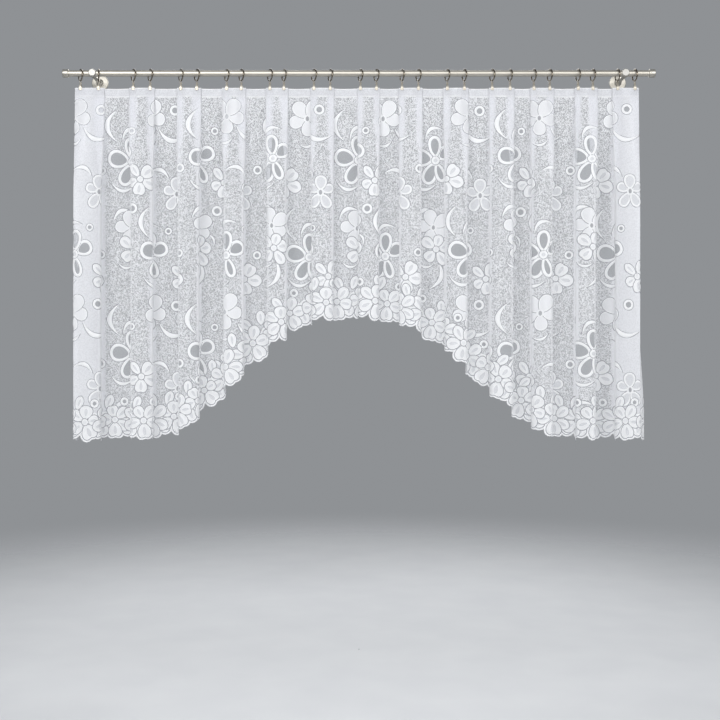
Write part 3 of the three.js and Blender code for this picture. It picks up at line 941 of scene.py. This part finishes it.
# The repeat of the field, charted: what stands at which place of it
REPEAT = (405, 595)
Motif = namedtuple("Motif", "kind u v turn scale", defaults=(0, 1))
Crescent = namedtuple("Crescent", "u v angle span bow thickness")
Ring = namedtuple("Ring", "u v radius hole")
CRESCENTS = [
    Crescent(222, 112, -90, 96, 38, 15), Crescent(276, 130, -28, 64, 28, 11),
    Crescent(250, 300, 188, 74, 26, 10), Crescent(36, 170, 165, 48, 16, 8),
    Crescent(106, 149, 197, 92, 34, 14), Crescent(70, 254, 18, 66, 26, 12),
    Crescent(250, 374, -22, 68, 28, 12), Crescent(380, 412, -90, 94, 32, 13),
    Crescent(34, 422, -28, 64, 28, 11), Crescent(8, 596, 188, 74, 26, 10),
    Crescent(292, 570, 108, 94, 32, 13), Crescent(258, 542, 186, 48, 16, 8),
    Crescent(332, 458, 62, 44, 14, 7),
]
RINGS = [
    Ring(116, 68, 16, 8.8), Ring(340, 131, 11.5, 6.2), Ring(186, 247, 14, 7.5),
    Ring(344, 372, 16, 8.8), Ring(92, 432, 11, 5.8), Ring(182, 505, 13, 7),
]
MOTIFS = [
    Motif("solid", 33, 91), Motif("light", 122, 322), Motif("open", 284, 218), Motif("bud", 368, 283, 8),
    Motif("solid", 280, 424, 24, 0.92), Motif("curled", 286, 489), Motif("open", 38, 512, 4),
    Motif("bud", 142, 578, -4),
]
ROOM = Sizes(crescent=22, ring=18, flower=8)  # above the border
BORDER = Sizes(pitch=76, height=52, clear=62, rim=7.2, edge_cord=3.0, leaf_beside=34, ring_beside=30,
               ring_above=56, filler_beside=38, filler_below=5, facing_hem=0.35)
PAST_EDGE = 40


def chart_field():
    """Repeats the field's motifs over the cloth, above the border."""
    rng = np.random.default_rng(7)

    def add_turned_flower(at, motif):
        add_flower(at, *FLOWERS[motif.kind], motif.turn + rng.uniform(-3, 3), motif.scale)

    def add_plain_ring(at, ring):
        add_ring(at, ring.radius, ring.hole)

    kinds = [
        (CRESCENTS, ROOM.crescent, add_crescent),
        (RINGS, ROOM.ring, add_plain_ring),
        (MOTIFS, ROOM.flower, add_turned_flower),
    ]
    starts = [np.array([column * REPEAT[0], row * REPEAT[1]]) for row in range(2) for column in range(-1, 8)]
    for start in starts:
        for motifs, room, add in kinds:
            for motif in motifs:
                at = start + (motif.u, motif.v) + rng.uniform(-3, 3, 2)
                low = hem(at[0]) - BORDER.clear - room
                if -PAST_EDGE < at[0] < WIDTH + PAST_EDGE and at[1] < low:
                    add(at, motif)


Bloom = namedtuple("Bloom", "centre side up slant turn scale flower")


def border_blooms():
    """The border's flowers, evenly spaced along the hem."""
    rng = np.random.default_rng(11)
    u = np.linspace(0, WIDTH, 1500)
    length = np.concatenate([[0], np.cumsum(np.hypot(np.diff(u), np.diff(hem(u))))])
    count = round(length[-1] / BORDER.pitch)
    blooms = []
    for number in range(count + 1):
        at = np.interp(number * length[-1] / count, length, u)
        slant = math.atan((hem(at + 1) - hem(at - 1)) / 2)
        side = np.array([math.cos(slant), math.sin(slant)])
        up = np.array([math.sin(slant), -math.cos(slant)])
        centre = np.array([at, hem(at)]) + up * (BORDER.height + rng.uniform(-3, 3))
        turn = math.degrees(slant) + rng.uniform(-7, 7)
        kind = BORDER_FLOWERS[number % len(BORDER_FLOWERS)]
        blooms.append(Bloom(centre, side, up, slant, turn, rng.uniform(0.95, 1.05), kind))
    return blooms


def filler_place(bloom):
    return bloom.centre + bloom.side * BORDER.filler_beside - bloom.up * BORDER.filler_below


def chart_border():
    """A row of flowers that overlap along the hem, and leaves above them. Their petals make the scallops."""
    blooms = border_blooms()
    for number, bloom in enumerate(blooms):
        if number % 2 == 0:
            place = bloom.centre + bloom.side * BORDER.leaf_beside
            for angle in (-24, 22):
                leaf = BORDER_LEAF._replace(angle=angle)
                add_petal(place, leaf, "full", math.degrees(bloom.slant), bloom.scale)
        else:
            above = bloom.up * BORDER.ring_above
            add_ring(bloom.centre + above + bloom.side * BORDER.ring_beside, 13, 6)
    for bloom in blooms:
        lobes = [(bloom.centre, petal, bloom.scale) for petal in bloom.flower[1]
                 if math.cos(math.radians(petal.angle + bloom.turn) - bloom.slant) < BORDER.facing_hem]
        for place, petal, scale in lobes + [(filler_place(bloom), BORDER_FILLER, 1.0)]:
            add_patch(petal_points(place, petal, bloom.turn, scale, -BORDER.rim), RIM, edge=True)
            add_cord(petal_points(place, petal, bloom.turn, scale, 2 - BORDER.rim), BORDER.edge_cord)
    for bloom in blooms:
        add_petal(filler_place(bloom), BORDER_FILLER, "full", bloom.turn)
    for bloom in blooms[1::2] + blooms[::2]:
        add_flower(bloom.centre, *bloom.flower, bloom.turn, bloom.scale)


def inside(points, outline):
    """Which points lie inside an outline."""
    x, y = points[:, :1], points[:, 1:]
    ax, ay = outline[:, 0], outline[:, 1]
    bx, by = np.roll(ax, -1), np.roll(ay, -1)
    crosses = (ay > y) != (by > y)
    height = np.where(by == ay, 1e-12, by - ay)
    right = x < ax + (y - ay) / height * (bx - ax)
    return (crosses & right).sum(axis=1) % 2 == 1


class Finder:
    """Finds which of many points lie inside an outline."""

    def __init__(self, points):
        self.order = np.argsort(points[:, 0], kind="stable")
        self.points = points[self.order]

    def within(self, outline):
        low, high = outline.min(axis=0), outline.max(axis=0)
        first, last = np.searchsorted(self.points[:, 0], [low[0], high[0]])
        near = np.arange(first, last)
        y = self.points[near, 1]
        near = near[(y >= low[1]) & (y <= high[1])]
        return self.order[near[inside(self.points[near], outline)]]


EDGE_STEP = 6
BASE_RISE = 24  # of the plain cloth's edge above the hem, behind the border's petals
PAST_HEM = Sizes(edges=8, lattice=6, motifs=16)
# The lattice's rows, close together at the heading and evenly spaced below it
ROWS = np.concatenate([[0, 2, 6, 12, 19, 27, 36], np.arange(46, SIDE_DROP + 20, 13.0)])
COLUMNS = Sizes(on_pleat=6, between=9)
# How far the lattice's points keep from the lace's outlines, in the heading and below it
CLEAR = Sizes(heading=1.3, heading_ends=60, below=3.4)


def hidden_points(loops, levels):
    """For each point of the loops, whether a patch above its own level covers it."""
    points = np.concatenate(loops)
    level = np.repeat(levels, [len(loop) for loop in loops])
    covered = np.zeros(len(points), bool)
    finder = Finder(points)
    for number, patch in enumerate(patches):
        found = finder.within(patch.points)
        covered[found[level[found] < number]] = True
    return np.split(covered, np.cumsum([len(loop) for loop in loops])[:-1])


def tree_of(places):
    tree = KDTree(len(places))
    for number, (u, v) in enumerate(places):
        tree.insert((u, v, 0), number)
    tree.balance()
    return tree


def lattice():
    """Rows of places that follow the folds, with the cloth's own edges."""
    columns = []
    for side, following in zip(sides, sides[1:] + [None]):
        here = side.samples(ROWS)
        here = here[:, ::-1] if side.way < 0 else here
        columns.append(here)
        if following is not None:
            end, until = here[:, -1:], following.span(ROWS)[0][:, None]
            steps = COLUMNS.on_pleat if side.way < 0 else COLUMNS.between
            columns.append(end + (until - end) * np.arange(1, steps)[None] / steps)
    u = np.concatenate(columns, axis=1)
    return u, np.repeat(ROWS[:, None], u.shape[1], axis=1)


class Drawing:
    """Points and edges that the cloth's triangles have to follow."""

    def __init__(self):
        self.points = []
        self.edges = []

    def add_line(self, line, keep=None, closed=False):
        """Adds a line's segments, apart from those whose two ends aren't kept."""
        keep = np.ones(len(line), bool) if keep is None else keep
        used = {}
        for i in range(len(line) if closed else len(line) - 1):
            ends = i, (i + 1) % len(line)
            if keep[ends[0]] or keep[ends[1]]:
                for k in ends:
                    if k not in used:
                        used[k] = len(self.points)
                        self.points.append(line[k])
                self.edges.append((used[ends[0]], used[ends[1]]))

    def add_outlines(self):
        """The patches' outlines where nothing covers them."""
        hidden = hidden_points([patch.points for patch in patches], np.arange(len(patches)))
        for patch, covered in zip(patches, hidden):
            u, v = patch.points.T
            off = (u < -2) | (u > WIDTH + 2) | (v < 0)
            if not patch.edge:
                off |= v > hem(u) + PAST_HEM.motifs
            self.add_line(patch.points, ~(covered | off), closed=True)

    def triangles(self):
        """Places and the triangles between them."""
        flat = [Vector((u, -v)) for u, v in self.points]
        found, _, faces, *_ = delaunay_2d_cdt(flat, self.edges, [], 0, 1e-4, False)
        places = np.array([(place[0], -place[1]) for place in found])
        return places, np.array([face for face in faces if len(face) == 3])


def make_lace_mesh():
    """The flat cloth as triangles that follow the lace's outlines: places, triangles and zones."""
    drawing = Drawing()
    drawing.add_outlines()
    base_u = np.linspace(0, WIDTH, round(WIDTH / EDGE_STEP))
    base = np.stack([base_u, hem(base_u) - BASE_RISE], axis=1)
    drawing.add_line(base, ~hidden_points([base], [-1])[0])
    u, v = lattice()
    drawing.add_line(np.stack([u[0], v[0]], axis=1))
    side_v = np.arange(0, SIDE_DROP + PAST_HEM.edges + 1, EDGE_STEP)
    for edge_u in (0, WIDTH):
        drawing.add_line(np.stack([np.full(len(side_v), float(edge_u)), side_v], axis=1))
    tree = tree_of(drawing.points)
    u, v = u[1:].ravel(), v[1:].ravel()
    within = (v < hem(u) + PAST_HEM.lattice) & (u > 1) & (u < WIDTH - 1)
    for a, b in zip(u[within], v[within]):
        least = CLEAR.heading if b < CLEAR.heading_ends else CLEAR.below
        if tree.find((a, b, 0))[2] > least:
            drawing.points.append((a, b))
    places, triangles = drawing.triangles()
    middle = places[triangles].mean(axis=1)
    on_cloth = middle[:, 1] < np.interp(middle[:, 0], *base.T)
    zones = np.full(len(triangles), GROUND)
    finder = Finder(middle)
    for patch in patches:
        covered = finder.within(patch.points)
        zones[covered] = patch.zone
        if patch.edge:
            on_cloth[covered] = True
    on_cloth &= (middle[:, 0] > 0) & (middle[:, 0] < WIDTH) & (middle[:, 1] > 0)
    return places, triangles[on_cloth], zones[on_cloth]


# How a filled petal rises from its outline, whose points lie about twice half_step apart
PILLOW = Sizes(reach=5, rise=0.18, half_step=2.0**0.5)


def make_on_cloth(name, u, v, proud, faces, materials):
    """An object whose points lie on the hung cloth, or proud of it."""
    u = np.clip(u, 0, WIDTH)
    made = make_object(name, placed(hung(u, v, proud)), faces, materials)
    keep_flat(made, u, v)
    return made


def make_net(materials):
    places, triangles, zones = make_lace_mesh()
    used, triangles = np.unique(triangles, return_inverse=True)
    triangles = triangles.reshape(-1, 3)
    u, v = places[used].T
    tree = tree_of(np.concatenate([patch.points for patch in patches]))
    found = np.array([tree.find((a, b, 0))[2] for a, b in places[used]])
    away = np.sqrt(np.maximum(found**2 - PILLOW.half_step**2, 0))
    filled = np.zeros(len(used), bool)
    filled[triangles[np.isin(zones, (SOLID, RIM))].ravel()] = True
    filled[triangles[~np.isin(zones, (SOLID, RIM))].ravel()] = False
    proud = np.where(filled, np.minimum(away, PILLOW.reach) * PILLOW.rise, 0)
    made = make_on_cloth("net_cloth", u, v, proud, triangles.tolist(), materials)
    made.data.polygons.foreach_set("material_index", zones)
    return made


CORD_LIFT = 0.12
# A cord's four rows of points: their shares of its width and its height
CORD_ACROSS = np.array([-1, -0.45, 0.45, 1]) / 2
CORD_HIGH = np.array([0.05, 1, 1, 0.05])


def make_cords(name, chosen, material):
    """Raised threads on the cloth's front along the chosen lines, left out where a petal covers them
    or where only one step of a line would show."""
    hidden = hidden_points([cord.points for cord in chosen], [cord.below - 1 for cord in chosen])
    all_u, all_v, proud, faces = [], [], [], []
    start = 0
    for cord, covered in zip(chosen, hidden):
        line, count = cord.points, len(cord.points)
        u, v = line.T
        off = covered | (u < cord.width) | (u > WIDTH - cord.width) | (v < 1)
        if cord.closed:
            along = np.roll(line, -1, axis=0) - np.roll(line, 1, axis=0)
        else:
            along = np.gradient(line, axis=0)
        along /= np.linalg.norm(along, axis=1)[:, None]
        width = np.broadcast_to(cord.width, count)[:, None]
        all_u.append((u[:, None] - along[:, 1:] * CORD_ACROSS * width).ravel())
        all_v.append((v[:, None] + along[:, :1] * CORD_ACROSS * width).ravel())
        proud.append(np.tile(CORD_LIFT + CORD_HIGH * cord.height, count))
        shown = ~(off | np.roll(off, -1))
        shown[-1] &= cord.closed
        shown &= np.roll(shown, 1) | np.roll(shown, -1)
        for i in np.nonzero(shown)[0]:
            here, following = start + i * 4, start + (i + 1) % count * 4
            faces += [(here + k, following + k, following + k + 1, here + k + 1) for k in range(3)]
        start += count * 4
    used, faces = np.unique(faces, return_inverse=True)
    u, v, proud = (np.concatenate(part)[used] for part in (all_u, all_v, proud))
    return make_on_cloth(name, u, v, proud, faces.reshape(-1, 4).tolist(), [material])


TAPE_ROWS = (0.5, 2.5, 7, 13.5, 20, 24.5, 26)


def make_tape(material):
    """The tape on the back of the top edge."""
    u = lattice()[0][0]
    proud = -(NET_THICKNESS / 2 + GAP + TAPE.thickness / 2)
    shell = Shell()
    shell.grid([hung(u, np.full(len(u), v), proud) for v in TAPE_ROWS])
    made = shell.made("tape_band", material)
    keep_flat(made, np.tile(u, len(TAPE_ROWS)), np.repeat(TAPE_ROWS, len(u)))
    return made


STITCH = Sizes(pitch=4.2, length=3.1, width=0.9, rows=(2.4, 24.6), lift=0.3)
# A stitch's points: their shares of half its length and half its width, and their height
STITCH_POINTS = np.array([
    (-1, 0, 0.1), (-0.7, -1, 0.2), (-0.7, 1, 0.2), (0, -1, 0.75),
    (0, 1, 0.75), (0.7, -1, 0.2), (0.7, 1, 0.2), (1, 0, 0.1),
])
STITCH_FACES = [(0, 2, 4, 3, 1), (3, 4, 6, 5), (5, 6, 7)]


def make_stitches(material):
    """Two rows of lockstitch through the net and its tape."""
    along, across, high = STITCH_POINTS.T
    all_u, all_v, proud, faces = [], [], [], []
    for v in STITCH.rows:
        for u in np.arange(4, WIDTH - 4, STITCH.pitch):
            start = len(all_u) * len(STITCH_POINTS)
            all_u.append(u + along * STITCH.length / 2)
            all_v.append(v + across * STITCH.width / 2)
            proud.append(STITCH.lift + high)
            faces += [tuple(start + k for k in face) for face in STITCH_FACES]
    u, v, proud = (np.concatenate(part) for part in (all_u, all_v, proud))
    return make_on_cloth("heading_stitches", u, v, proud, faces, [material])


def make_floor():
    angles = round_angles(96)
    radii = np.concatenate([[0.001], np.linspace(0.05, 1, 12)]) * FLOOR_RADIUS
    shell = Shell()
    shell.grid([np.stack([r * np.sin(angles), r * np.cos(angles), 0 * angles], axis=1) for r in radii],
               closed_columns=True)
    floor = make_object("studio_floor", np.concatenate(shell.points), shell.faces, [floor_material()])
    floor.location = (rod_middle[0], rod_middle[1], FLOOR_HEIGHT)


def dress(piece, slot, *nodes):
    """Hangs a piece on the root and hides the nodes it stands for. The slot is not used."""
    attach(piece, "root")
    if nodes:
        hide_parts(*nodes)


make_camera()
make_lights()
make_floor()

metals = {use: metal_material(metal) for use, metal in METALS.items()}
cord_threads = cord_material()
net_materials = [
    ground_material(),
    mesh_material(),
    filled_material("net_solid", (0.79, 0.795, 0.82), (0.88, 0.885, 0.90), 0.90),
    light_material(),
    groove_material(),
    filled_material("net_rim", (0.84, 0.845, 0.86), (0.92, 0.92, 0.93), 0.95),
]

dress(make_rod(metals["rod"]), "nickel", "rod")
for side, end in ((-1, "left"), (1, "right")):
    dress(make_cap(f"cap_{end}", side, metals["turned"]), "nickel", f"end_cap_{end}")
    for piece in make_bracket(f"holder_{end}", side, metals["turned"], metals["knob"]):
        dress(piece, "nickel", f"bracket_{end}")
dress(make_rings(metals["ring"]), "ring_metal", *ring_names)
dress(make_clips(metals["clip"]), "clip_metal", *clip_names)

chart_field()
field_cords = len(cords)
chart_border()
net = make_net(net_materials)
field_relief = make_cords("field_threads", cords[:field_cords], cord_threads)
border_relief = make_cords("border_threads", cords[field_cords:], cord_threads)
tape = make_tape(tape_material())
stitches = make_stitches(cord_threads)
dress(net, "net", "net_panel")
dress(field_relief, "net")
dress(border_relief, "net")
dress(tape, "tape", "heading_tape")
dress(stitches, "tape")
